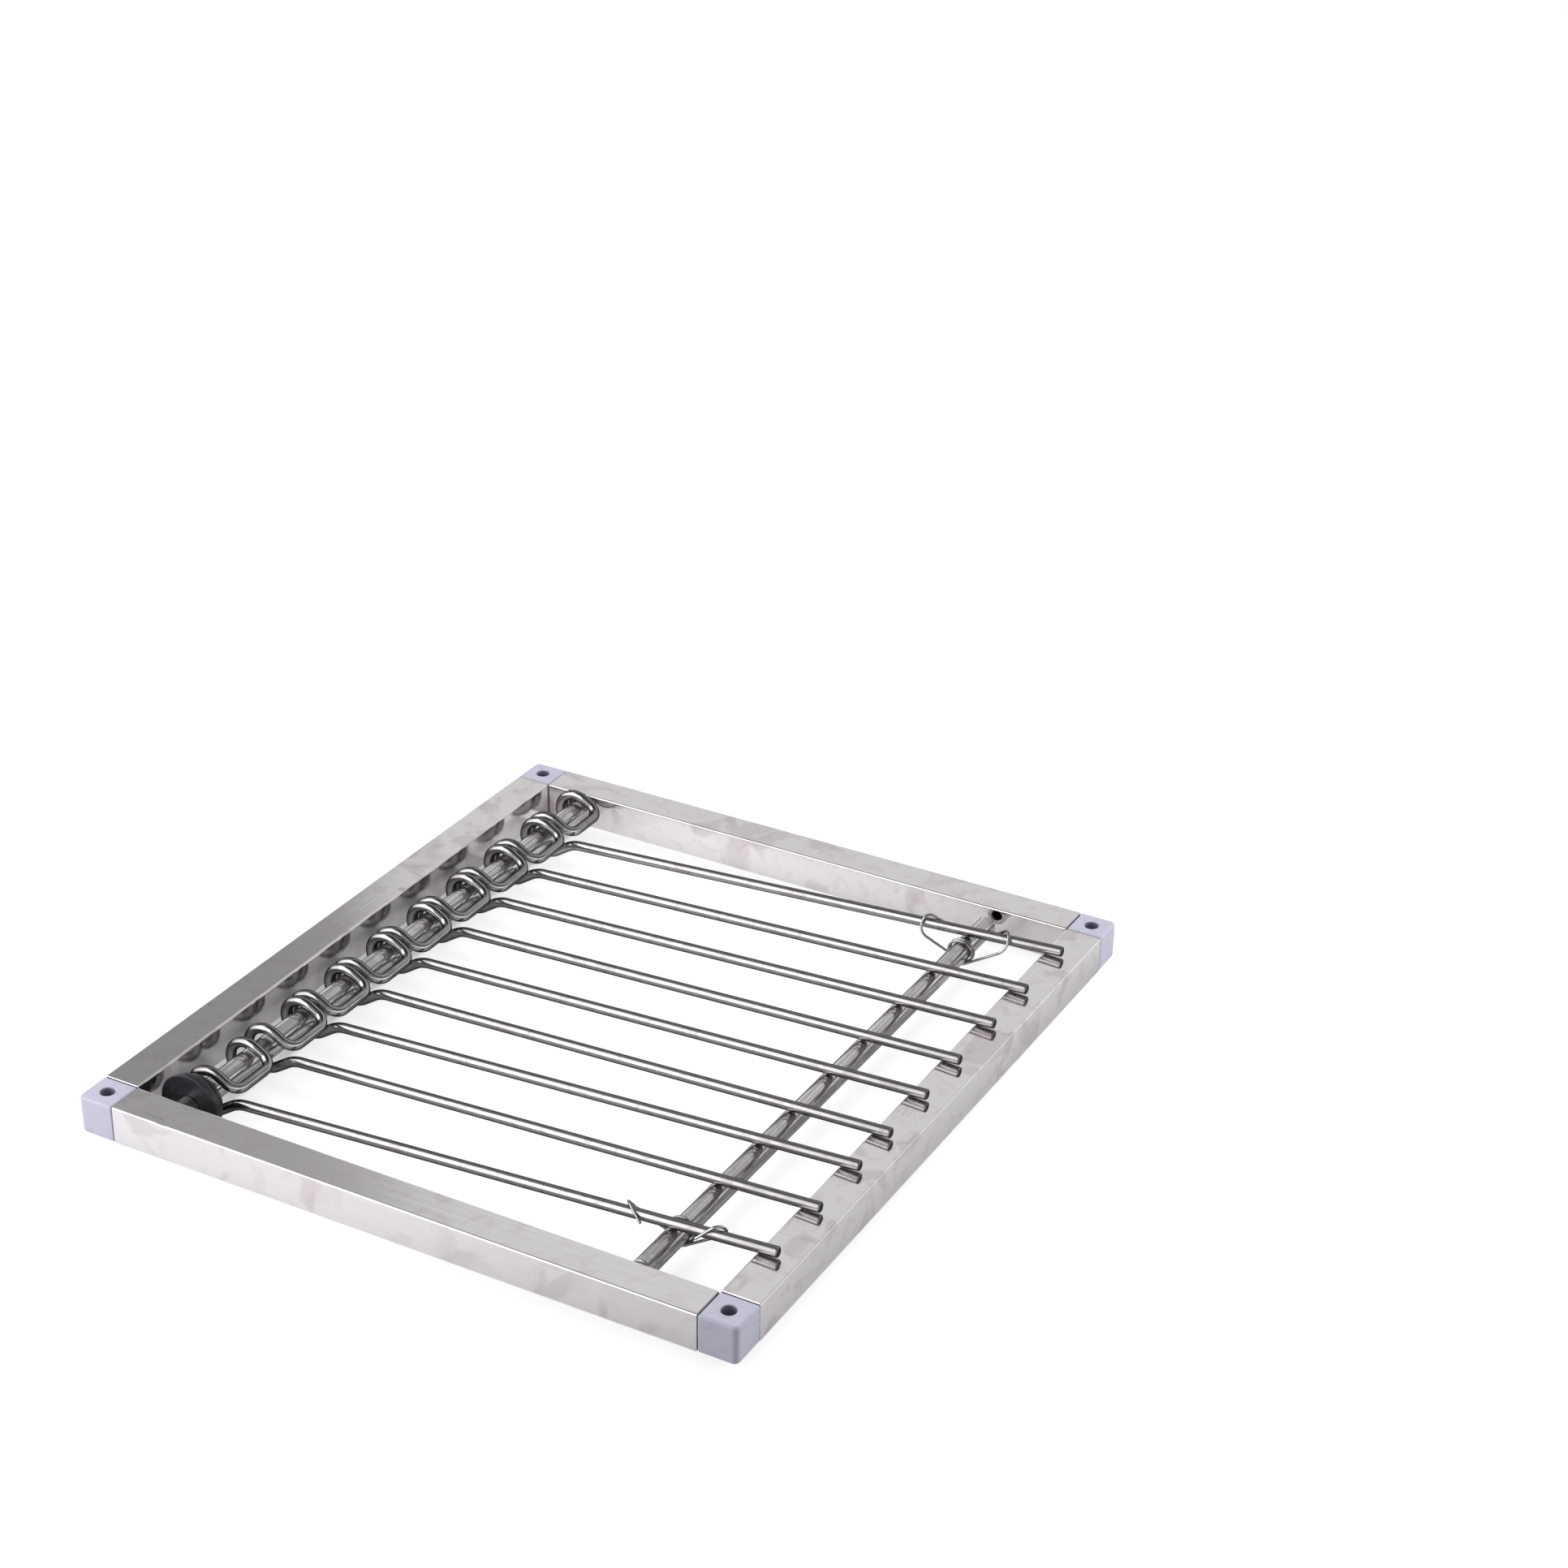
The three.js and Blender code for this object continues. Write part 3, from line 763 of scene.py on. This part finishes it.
def stake(name, x, y):
    """The shape of a punch mark: a ball flattened to the dent's length, width and depth."""
    angle = np.linspace(0, np.pi, 13)
    ball = turned_grid(np.c_[-np.cos(angle), np.sin(angle)], (0, 0, 0), 32)
    return add_surface(name, ball * [stake_reach, stake_half_width, stake_depth] + [x, y, tube_low.z])


def make_rail(name, axis):
    """One rail between two blocks, drilled and staked if it is a side rail."""
    low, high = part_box(name)
    middle = (low + high) / 2
    rail = add_surface(name + "_tube", laid_along(tube_grid(high[axis] - low[axis]), axis, middle), ring=True)
    if axis == X:
        inward = -1 if middle.y > 0 else 1
        reach = inward * (tube_size / 2 + drill_overrun)
        tools = [drill("axle_hole", axle_x, middle.y, axle_z, reach, axle_radius + fit_gap)]
        if inward < 0:
            tools.append(drill("entry_hole", axle_x, middle.y, axle_z, -reach, axle_radius + entry_gap))
        ends = (low.x + stake_offset, high.x - stake_offset)
        places = (ends[0], axle_x, -axle_x, ends[1])
        tools += [stake(f"stake_{count}", x, middle.y) for count, x in enumerate(places)]
        combine(rail, tools, "DIFFERENCE")
    smooth(rail)
    keep_straight_axis(rail, axis)
    material = scuffed_tube if name == "side_rail_near" else polished_tube
    finish_piece(rail, "frame", material, name)
    return rail


rail_axes = {"top_rail": Y, "bottom_rail": Y, "side_rail_near": X, "side_rail_far": X}
rails = [make_rail(name, axis) for name, axis in rail_axes.items()]
print("rails:", [(rail.name, len(rail.data.polygons)) for rail in rails])

# %% [markdown]
# ## The corner blocks
#
# A block is a rounded cube with a screw hole through it, and two plugs that sit inside the tubes. Its
# surface is one closed grid: rows start at the rim of the hole as circles, and become the block's
# outline on the way to its edge. The corner that points away from the frame is rounded more.

# %% Make the four corner blocks
seam_step = 0.05 * mm
seam_height = -1.5 * mm
seam_slope = 0.04 * mm
corner_order = [(1, 1), (-1, 1), (-1, -1), (1, -1)]


def block_grid(radii):
    """Rows of (share of the way from circle to outline, inset or radius, height)."""
    half = tube_size / 2
    edge, hole_edge = block_edge, screw_hole_edge
    rim_radius = screw_hole_radius + hole_edge
    hole = [(0, screw_hole_radius, half - hole_edge - hold)]
    hole += [(0, radius, z) for radius, z in quarter((rim_radius, half - hole_edge), hole_edge, 90)[::-1]]
    hole += [(0, rim_radius + hold, half), (1, edge + hold, half)]
    side = [(1, half - x, z) for x, z in quarter((half - edge, half - edge), edge, 0)[::-1]]
    side += [(1, 0, half - edge - hold), (1, 0, seam_height + seam_slope)]
    top_rows = hole + side
    bottom_rows = [(share, size, -z) for share, size, z in reversed(top_rows[:-1])]
    rows = []
    for share, size, z in top_rows + [(1, seam_step, seam_height)] + bottom_rows:
        below = seam_step if share and z < seam_height else 0
        inset = size + below if share else 0
        outline = rounded_square(half - inset, [max(radius - inset, seam_step) for radius in radii])
        angle = (np.arange(len(outline)) + 0.5) * 2 * np.pi / len(outline)
        points = outline if share else size * np.c_[np.cos(angle), np.sin(angle)]
        rows.append(np.c_[points, np.full(len(points), z)])
    return np.stack(rows)


def plug_grid():
    """A rounded square bar along Z, from inside the block to its free end, closed by a point."""
    half = tube_size / 2 - tube_wall - spigot_clearance
    outline = rounded_square(half, [spigot_corner] * 4)
    start, end = tube_size / 2 - spigot_root, tube_size / 2 + spigot_length
    small = 1 - spigot_corner / half
    rows = [(0, start), (1, start), (1, end - spigot_corner), (small, end), (0, end)]
    return np.stack([np.c_[outline * scale, np.full(len(outline), along)] for scale, along in rows])


def mark_hole(block, middle):
    """Marks with 1 each point on the hole's wall, which lies one hole radius from its axis."""
    x, y, _ = points_of(block).T - middle[:, None]
    inside = np.hypot(x, y) < screw_hole_radius + hold
    mark = block.data.attributes.new(IN_HOLE, "FLOAT", "POINT")
    mark.data.foreach_set("value", inside.astype(np.float32))


def make_block(name, side_x, side_y):
    """One block: its outer corner lies towards side_x, side_y, and its plugs point the other way."""
    low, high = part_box(name)
    corner = [high.x if side_x > 0 else low.x, high.y if side_y > 0 else low.y, frame_mid_z]
    middle = np.array(corner) - np.array([side_x, side_y, 0]) * tube_size / 2
    radii = [block_seam_edge] * 4
    radii[corner_order.index((side_x, side_y))] = block_outer_corner
    block = add_surface(name + "_moulding", block_grid(radii) + middle, ring=True)
    plug = plug_grid()
    along_x = plug[..., [2, 0, 1]] * [-side_x, 1, 1]
    along_y = plug[..., [0, 2, 1]] * [1, -side_y, 1]
    plugs = [add_surface("plug_x", along_x + middle), add_surface("plug_y", along_y + middle)]
    combine(block, plugs, "UNION")
    mark_hole(block, middle)
    smooth(block)
    finish_piece(block, "frame", moulded_plastic, name)
    return block


near_or_far = {"near": -1, "far": 1}
top_or_bottom = {"top": -1, "bottom": 1}
blocks = [
    make_block(f"corner_block_{row}_{end}", side_x, side_y)
    for row, side_y in near_or_far.items()
    for end, side_x in top_or_bottom.items()
]
print("blocks:", [(block.name, len(block.data.polygons)) for block in blocks])

# %% [markdown]
# ## The axle, its rubber bush and the lift bar
#
# All three are turned about a line along Y. The axle is solid, so its profile starts and ends on the
# axis. The bush and the bar have a bore, so their profiles close on themselves.

# %% Make the turned pieces
def make_axle():
    """A round bar with rounded ends."""
    start, end = axle_low.y, axle_high.y
    outside = shoulders(start, end, axle_radius, axle_edge)
    profile = held(np.vstack([[start, 0], outside, [end, 0]]))
    axle = add_surface("axle_bar", turned_grid(profile, (axle_x, 0, axle_z)))
    smooth(axle)
    keep_straight_axis(axle, Y)
    finish_piece(axle, "frame", drawn_bar, "axle")


def make_bush():
    """A wide flange, a hub and a smaller collar in one rubber moulding."""
    start, bore = bush_low.y, axle_radius + fit_gap
    hub_start = start + flange_thickness
    hub_end = hub_start + hub_length
    profile = np.vstack([
        [start, bore],
        shoulders(start, hub_start, bush_radius, rubber_edge),
        [hub_start, hub_radius],
        [hub_end, hub_radius],
        shoulders(hub_end, bush_high.y, collar_radius, rubber_edge),
        [bush_high.y, bore],
        [start, bore],
    ])
    bush = add_surface("rubber_bush", turned_grid(held(profile)[:-1], (axle_x, 0, axle_z), 96), ring=True)
    smooth(bush)
    finish_piece(bush, "frame", soft_rubber, "grommet")


def make_bar():
    """A round tube with rounded lips."""
    start, end = bar_low.y, bar_high.y
    inner = bar_bore_radius + bar_edge
    profile = np.vstack([
        shoulders(start, end, bar_radius, bar_edge),
        quarter((end - bar_edge, inner), bar_edge, 270)[::-1],
        quarter((start + bar_edge, inner), bar_edge, 180)[::-1],
    ])
    profile = held(np.vstack([profile, profile[:1]]))[:-1]
    bar = add_surface("lift_bar_tube", turned_grid(profile, (bar_x, 0, bar_z)), ring=True)
    smooth(bar)
    keep_straight_axis(bar, Y)
    finish_piece(bar, "lifter", bright_tube, "lift_bar")


make_axle()
make_bush()
make_bar()
lengths = (axle_high.y - axle_low.y, bush_length, bar_high.y - bar_low.y)
print("lengths of axle, bush and bar:", [round(length / mm, 1) for length in lengths], "mm")

# %% [markdown]
# ## The bobs
#
# One wire makes a whole bob. From the rod's free end it runs in to the axle, dips under it, goes up
# behind it as a ring, comes over as one leg of a flat loop, and goes back in a second ring. The loop
# joins the two rings, which hold the rod nearly square to the axle. Most rods still lean a little.

# %% Make the nine bobs
def rod_rise(reach):
    """The height of the rod's middle line above the hinge at a distance from it."""
    return (reach - neck_reach) * rod_slope - neck_drop


def bob_route(lean):
    """The wire's middle line about the near ring's centre: rod, ring, loop, ring and tail."""
    distance = math.hypot(loop_reach, loop_rise)
    leave = math.atan2(loop_rise, loop_reach) + math.acos(ring_radius / distance)
    bottom, top = -math.pi / 2, leave - 2 * math.pi
    far_start = near_ring_travel + loop_width
    near_ring = helix(ring_radius, bottom, top, 0, near_ring_travel)
    far_ring = helix(ring_radius, top, bottom, far_start, bob_width)
    rod_end, neck = [rod_reach, lean, rod_rise(rod_reach)], [neck_reach, 0, -neck_drop]
    dip = [dip_reach, 0, -ring_radius]
    rod = rounded_route(np.array([rod_end, neck, dip, near_ring[0]]), [neck_bend, dip_bend])
    loop_corners = [[loop_reach, y, loop_rise] for y in (near_ring_travel, far_start)]
    loop = rounded_route(np.array([near_ring[-1], *loop_corners, far_ring[0]]), [loop_bend, loop_bend])
    tail = [[tail_reach, bob_width, -ring_radius]]
    return np.vstack([rod[:-1], near_ring[:-1], loop[:-1], far_ring, tail])


def rod_lean(index):
    """How far the rod's free end lies to one side of its near ring."""
    return rod_lean_shares[index % len(rod_lean_shares)] * bob_pitch


def bob_y(index):
    """The near ring's place along the axle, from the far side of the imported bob."""
    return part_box(f"bob_{index + 1}")[1].y - wire_radius - bob_width


for index in range(bob_count):
    node = f"bob_{index + 1}"
    body = node if node in frame["bodies"] else "gate"
    route = bob_route(rod_lean(index)) + [axle_x, bob_y(index), axle_z]
    bob = add_wire(node + "_wire", route, wire_radius, wire_edge, wire_sides)
    finish_piece(bob, body, drawn_wire, node)
print("bobs:", bob_count, "with", len(bob.data.polygons), "faces each")

# %% [markdown]
# ## The clips
#
# Each clip is a fine spring wire: a coil of two turns on the lift bar, and two arms that hook over the
# outer rod, one towards the axle and one towards the rod's end.

# %% Make the two clips
def arm_corners(outward, heading, lean):
    """The arm's corners about the coil's middle: it leaves under the coil, rises to a knee beside
    the rod, hooks over it and ends on its outer side. Heading is 1 towards the rod's end, or -1."""
    lean_slope = lean / (rod_reach - neck_reach)
    bar_drop = (wire_radius + fit_gap + bar_radius) * math.hypot(1, rod_slope)
    knee, hook, tip = heading * np.array([knee_reach, hook_reach, tip_reach])
    start_y = -heading * coil_pitch * coil_turns / 2
    hook_y = outward * (coil_offset + hook_overshoot) + hook * lean_slope
    tip_y = outward * (coil_offset + tip_overshoot) + tip * lean_slope
    return np.array([
        [0, start_y, -coil_radius],
        [heading * arm_flat, start_y, -coil_radius],
        [knee, 0, bar_drop + knee * rod_slope - knee_drop],
        [hook, hook_y, bar_drop + hook * rod_slope + hook_rise],
        [tip, tip_y, bar_drop + tip * rod_slope - tip_drop],
    ])


def clip_route(outward, lean):
    """One arm from its tip to the coil, the coil, and the other arm out to its tip."""
    bends = [arm_bend, knee_bend, hook_bend]
    to_axle = rounded_route(arm_corners(outward, -1, lean), bends)
    to_rod_end = rounded_route(arm_corners(outward, 1, lean), bends)
    half = coil_pitch * coil_turns / 2
    start = -math.pi / 2
    coil = helix(coil_radius, start, start + 2 * math.pi * coil_turns, half, -half)
    return np.vstack([to_axle[:0:-1], coil, to_rod_end[1:]])


for node, index, outward in (("clip_near", 0, -1), ("clip_far", bob_count - 1, 1)):
    lean = rod_lean(index)
    bar_reach = bar_x - axle_x
    rod_side = bob_y(index) + lean * (bar_reach - neck_reach) / (rod_reach - neck_reach)
    route = clip_route(outward, lean) + [bar_x, rod_side - outward * coil_offset, bar_z]
    clip = add_wire(node + "_wire", route, clip_radius, clip_edge, clip_sides)
    finish_piece(clip, "lifter", spring_wire, node)
print("clips:", len(clip.data.polygons), "faces each")

# %% [markdown]
# ## The studio
#
# Metal shows its surroundings, so they are built with care: a floor that looks white, soft lamps
# behind, to the right and low on the left, and a room of painted reflections that only mirrors see,
# dim but for its wall, horizon and softbox. The floor goes through the three points that the trap
# rests on: the rubber flange, the last ring and the lower far corner.

# %% Make the floor
floor_half = 4.0
floor_white = 0.5
floor_glow = 0.75
# Painted shade for mirrors: the share of the glow that they see, which falls off towards plus X.
mirrored_share, mirrored_end_share = 0.75, 0.45
mirrored_fade = (-0.05, 0.15)
shaded_share = 0.3
shaded_half_length, shaded_half_width = 0.135, 0.12
shaded_middle_y = -0.025
# A painted shadow: the floor glows less in a strip under the axle.
axle_shadow_edge = (-0.108, -0.102)
axle_shadow_half_width = 0.132
axle_shadow_share = 0.48


def seen_rays(tree, mirrored=1.0):
    """1 for rays that show the background, which are camera and transmission rays, and a share of
    that for glossy rays."""
    path = tree.nodes.new("ShaderNodeLightPath").outputs
    glossy = times(tree, path["Is Glossy Ray"], mirrored)
    seen = math_node(tree, "MAXIMUM", path["Is Camera Ray"], glossy)
    return math_node(tree, "MAXIMUM", seen, path["Is Transmission Ray"])


def floor_through(first, second, third):
    """A large square in the plane of three points: z is a height plus a slope times x plus another
    slope times y."""
    slopes = np.linalg.solve(np.array([first[:2] + (1,), second[:2] + (1,), third[:2] + (1,)]),
                             np.array([first[2], second[2], third[2]]))
    corner = np.array([-floor_half, floor_half])
    x, y = np.meshgrid(corner, corner)
    grid = np.stack([x, y, slopes[0] * x + slopes[1] * y + slopes[2]], -1)
    mesh = bpy.data.meshes.new("floor")
    mesh.from_pydata(grid.reshape(-1, 3).tolist(), [], [(0, 1, 3, 2)])
    floor = bpy.data.objects.new("floor", mesh)
    bpy.context.scene.collection.objects.link(floor)
    return floor


def floor_material():
    """Pale and matt. To the rays that show the background it glows a little more, up to white. A painted
    shadow: it glows less under the axle. Painted shade: mirrors see less of its glow inside the frame,
    under the rods, and less towards plus X."""
    material, tree, surface = empty_material("pale_floor")
    matt = add_node(tree, "ShaderNodeBsdfDiffuse", {"Color": (floor_white, floor_white, floor_white, 1)})
    place = add_node(tree, "ShaderNodeTexCoord").outputs["Object"]
    x, y, _ = add_node(tree, "ShaderNodeSeparateXYZ", {0: place}).outputs
    in_length = math_node(tree, "COMPARE", x, 0.0, shaded_half_length)
    in_width = math_node(tree, "COMPARE", y, shaded_middle_y, shaded_half_width)
    shaded = times(tree, in_length, in_width)
    # Painted shade for mirrors: less glow towards plus X, and inside the frame under the rods.
    along = ramp(tree, x, *mirrored_fade, mirrored_share, mirrored_share * mirrored_end_share)
    mirrored = times(tree, along, ramp(tree, shaded, 0.0, 1.0, 1.0, shaded_share))
    # Painted shadow: less glow between the rails, under the axle.
    between_rails = math_node(tree, "COMPARE", y, 0.0, axle_shadow_half_width)
    strip = times(tree, in_length, between_rails)
    axle_shadow = times(tree, strip, ramp(tree, x, *axle_shadow_edge, 1.0, 0.0))
    glow_here = ramp(tree, axle_shadow, 0.0, 1.0, floor_glow, floor_glow * axle_shadow_share)
    strength = times(tree, seen_rays(tree, mirrored), glow_here)
    glow = add_node(tree, "ShaderNodeEmission", {"Strength": strength})
    both = add_node(tree, "ShaderNodeAddShader", {0: matt.outputs[0], 1: glow.outputs[0]})
    tree.links.new(both.outputs[0], surface)
    return material


last_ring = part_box(f"bob_{bob_count}")
contacts = [
    (axle_x, bush_low.y + flange_thickness / 2, bush_low.z),
    (axle_x, last_ring[1].y - wire_radius, axle_z - ring_radius - wire_radius),
    (tube_high.x, tube_high.y + tube_size, tube_low.z),
]
floor = floor_through(*contacts)
floor.data.materials.append(floor_material())
print("floor's height at its three contacts:", [round(z / mm, 2) for _, _, z in contacts], "mm")

# %% Make the room that only reflections see
room_radius = 3.6
ceiling_glow = 0.3
dark_side_glow = 0.18
zenith_glow = 0.05
wall_glow = 0.7
horizon_glow = 1.3
painted_softbox_glow = 2.2
wall_turn, wall_half_width, wall_softness = 93, 35.7, 1.3
dark_side_turn, dark_side_half_width, dark_side_softness = 20, 38, 3
softbox_turn, softbox_half_width, softbox_softness = -132, 38, 3
wall_top = (0.72, 0.86)
zenith_start = (0.84, 0.9)
horizon_top = (0.21, 0.26)
horizon_tilt = 0.15
softbox_bottom, softbox_top = (0.05, 0.11), (0.8, 0.86)


def towards(tree, flat, turn, half_width, softness):
    """1 where the compass direction lies within half a width of the turn, in degrees. Its cosine
    is a dot product, so the cosines of both limits are what it is compared with."""
    turn = math.radians(turn)
    ahead = vector_math(tree, "DOT_PRODUCT", flat, (math.cos(turn), math.sin(turn), 0))["Value"]
    near, far = (math.cos(math.radians(half_width + side * softness)) for side in (-1, 1))
    return ramp(tree, ahead, far, near)


def room_material():
    """Painted reflections: the ceiling's glow, and laid over it a lighter wall behind, a dark side, a
    dark zenith, a bright horizon and a large painted softbox. Heights are shares of the room's radius."""
    material, tree, surface = empty_material("room")
    place = add_node(tree, "ShaderNodeTexCoord").outputs["Object"]
    flat = vector_math(tree, "NORMALIZE", vector_math(tree, "MULTIPLY", place, (1, 1, 0))[0])[0]
    east, _, up = add_node(tree, "ShaderNodeSeparateXYZ", {0: place}).outputs
    height = math_node(tree, "DIVIDE", up, room_radius)
    sideways = math_node(tree, "ABSOLUTE", east, 0.0)
    level = math_node(tree, "MULTIPLY_ADD", sideways, -horizon_tilt / room_radius, height)
    wall = towards(tree, flat, wall_turn, wall_half_width, wall_softness)
    wall = times(tree, wall, ramp(tree, height, *wall_top, 1.0, 0.0))
    dark_side = towards(tree, flat, dark_side_turn, dark_side_half_width, dark_side_softness)
    zenith = ramp(tree, height, *zenith_start)
    horizon = ramp(tree, level, *horizon_top, 1.0, 0.0)
    box_height = ramp(tree, height, *softbox_top, 1.0, 0.0)
    box_height = times(tree, ramp(tree, height, *softbox_bottom), box_height)
    softbox = towards(tree, flat, softbox_turn, softbox_half_width, softbox_softness)
    softbox = times(tree, softbox, box_height)
    glow = ceiling_glow
    for mask, value in ((wall, wall_glow), (dark_side, dark_side_glow), (zenith, zenith_glow),
                        (horizon, horizon_glow), (softbox, painted_softbox_glow)):
        glow = add_node(tree, "ShaderNodeMix", {"Factor": mask, 2: glow, 3: value}).outputs[0]
    emission = add_node(tree, "ShaderNodeEmission", {"Strength": glow})
    tree.links.new(emission.outputs[0], surface)
    return material


def only_in_reflections(thing):
    """The thing shows in mirrors and nowhere else, and casts no shadow."""
    for ray in ("camera", "diffuse", "transmission", "volume_scatter", "shadow"):
        setattr(thing, f"visible_{ray}", False)


# The room glows though it is no lamp, and only mirrors see it: everything on it is painted reflection.
angle = np.linspace(0, np.pi / 2, 24)
room_grid = turned_grid(np.c_[np.sin(angle), np.cos(angle)] * room_radius, (0, 0, 0))
room = add_surface("room", room_grid[..., [0, 2, 1]])
room.data.materials.append(room_material())
only_in_reflections(room)
print("room faces:", len(room.data.polygons))

# %% Make the lamps and the plain white surroundings
def add_softbox(name, place, size, power):
    """A square lamp that faces the middle of the object. Mirrors don't show it, but the softbox painted on
    the room instead.
    """
    lamp = bpy.data.objects.new(name, bpy.data.lights.new(name, "AREA"))
    lamp.visible_glossy = False
    lamp.data.shape = "RECTANGLE"
    lamp.data.size, lamp.data.size_y = size
    lamp.data.energy = power
    lamp.location = place
    lamp.rotation_euler = (-Vector(place)).to_track_quat("-Z", "Y").to_euler()
    bpy.context.scene.collection.objects.link(lamp)


add_softbox("softbox_above", (-0.4, 0.7, 1.5), (1.2, 1.2), 12.5)
add_softbox("softbox_front_left", (-0.45, -0.5, 0.2), (0.4, 0.3), 2.5)
add_softbox("softbox_right", (0.9, 0.6, 0.35), (0.6, 0.4), 6.5)
world_diffuse, world_seen = 0.3, 1.0

world = bpy.data.worlds.new("white_surroundings")
bpy.context.scene.world = world
world.use_nodes = True
tree = world.node_tree
background = tree.nodes["Background"]
world_strength = ramp(tree, seen_rays(tree), 0.0, 1.0, world_diffuse, world_seen)
tree.links.new(world_strength, background.inputs["Strength"])
background.inputs["Color"].default_value = (1, 1, 1, 1)
bpy.context.scene.view_settings.view_transform = "Standard"
